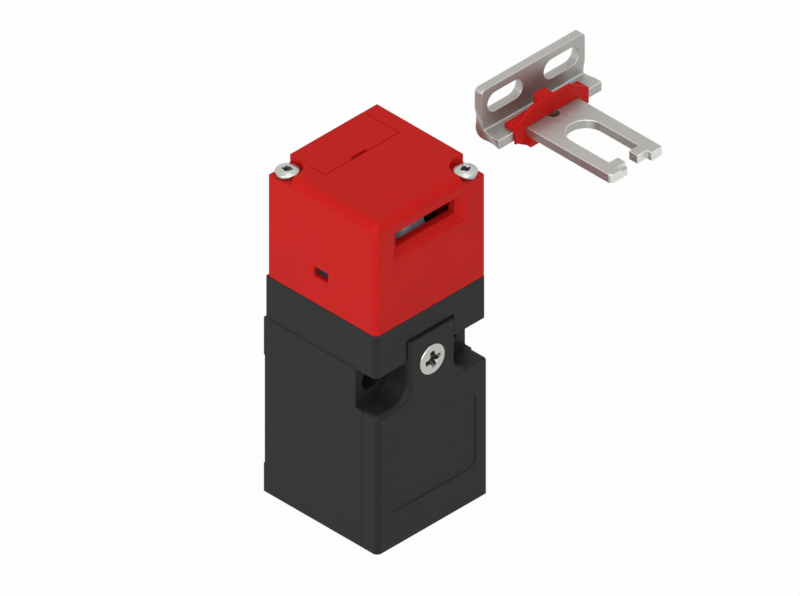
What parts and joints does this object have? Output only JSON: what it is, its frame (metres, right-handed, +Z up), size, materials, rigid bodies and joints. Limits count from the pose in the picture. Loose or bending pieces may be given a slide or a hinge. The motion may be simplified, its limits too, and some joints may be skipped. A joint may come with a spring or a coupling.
{
  "type": "tongue interlock switch",
  "caption": "Narrow tongue-operated safety interlock switch: red head with a funnelled key slot on a black body with front cover, beside its L-shaped steel key with red guide.",
  "frame": {"origin": "centre of the threaded conduit entry in the body's bottom face, on the plunger's axis", "axes": "+Z up the plunger's axis towards the head; -Y out of the front cover and the key slot; +Y into the mounting surface; +X across the width towards the loose key"},
  "size_m": [0.0715, 0.0445, 0.0807],
  "materials": {
    "black_plastic": "fine matt mould grain",
    "red_plastic": "satin moulded red",
    "white_plastic": "plain moulded",
    "block_plastic": "plain moulded light grey",
    "screw_steel": "zinc-plated turned steel",
    "key_steel": "ground stainless sheet",
    "cam_steel": "ground steel",
    "spring_steel": "bright drawn wire",
    "contact_brass": "stamped brass strip",
    "seal_rubber": "matt rubber"
  },
  "bodies": {
    "switch_housing": {"body_housing": "black_plastic", "cover_seal": "seal_rubber", "contact_block": "block_plastic", "fixed_contacts": "contact_brass", "terminal_clamps": "screw_steel", "terminal_screws": "screw_steel", "plunger_bush": "white_plastic", "plunger_seal": "seal_rubber", "plunger_spring": "spring_steel", "head_housing": "red_plastic", "head_seal": "seal_rubber", "head_screws": "screw_steel", "cam_carrier": "black_plastic", "cam_axle": "cam_steel"},
    "front_cover_body": {"front_cover": "black_plastic", "cover_screw": "screw_steel"},
    "top_entry_body": {"top_entry_cover": "red_plastic"},
    "cam_wheel": {"cam_disc": "cam_steel", "cam_side_discs": "cam_steel", "drive_pin": "cam_steel"},
    "plunger_body": {"plunger": "white_plastic"},
    "contact_body": {"contact_slider": "white_plastic", "contact_bridges": "contact_brass", "contact_springs": "spring_steel"},
    "actuator_key": {"key_plate": "key_steel", "key_guide": "red_plastic"}
  },
  "joints": [
    {"name": "key_stroke", "type": "slide", "parent": "switch_housing", "child": "actuator_key", "axis": [0, -1, 0], "range_m": [0, 0.023]},
    {"name": "cam_turn", "type": "hinge", "parent": "switch_housing", "child": "cam_wheel", "pos_m": [0, 0, 0.0619], "axis": [-1, 0, 0], "range_deg": [0, 60]},
    {"name": "plunger_travel", "type": "slide", "parent": "switch_housing", "child": "plunger_body", "axis": [0, 0, 1], "range_m": [0, 0.0035], "deforming": ["plunger_spring"]},
    {"name": "contact_travel", "type": "slide", "parent": "switch_housing", "child": "contact_body", "axis": [0, 0, 1], "range_m": [0, 0.0035]},
    {"name": "front_cover_lift_off", "type": "slide", "parent": "switch_housing", "child": "front_cover_body", "axis": [0, -1, 0], "range_m": [0, 0.03]},
    {"name": "top_entry_cover_lift_off", "type": "slide", "parent": "switch_housing", "child": "top_entry_body", "axis": [0, 0, 1], "range_m": [0, 0.012]}
  ],
  "couplings": [
    {"joint": "cam_turn", "follows": "key_stroke", "rad_per_m": 45.525},
    {"joint": "plunger_travel", "follows": "key_stroke", "ratio": 0.1521},
    {"joint": "contact_travel", "follows": "key_stroke", "ratio": 0.1521}
  ]
}
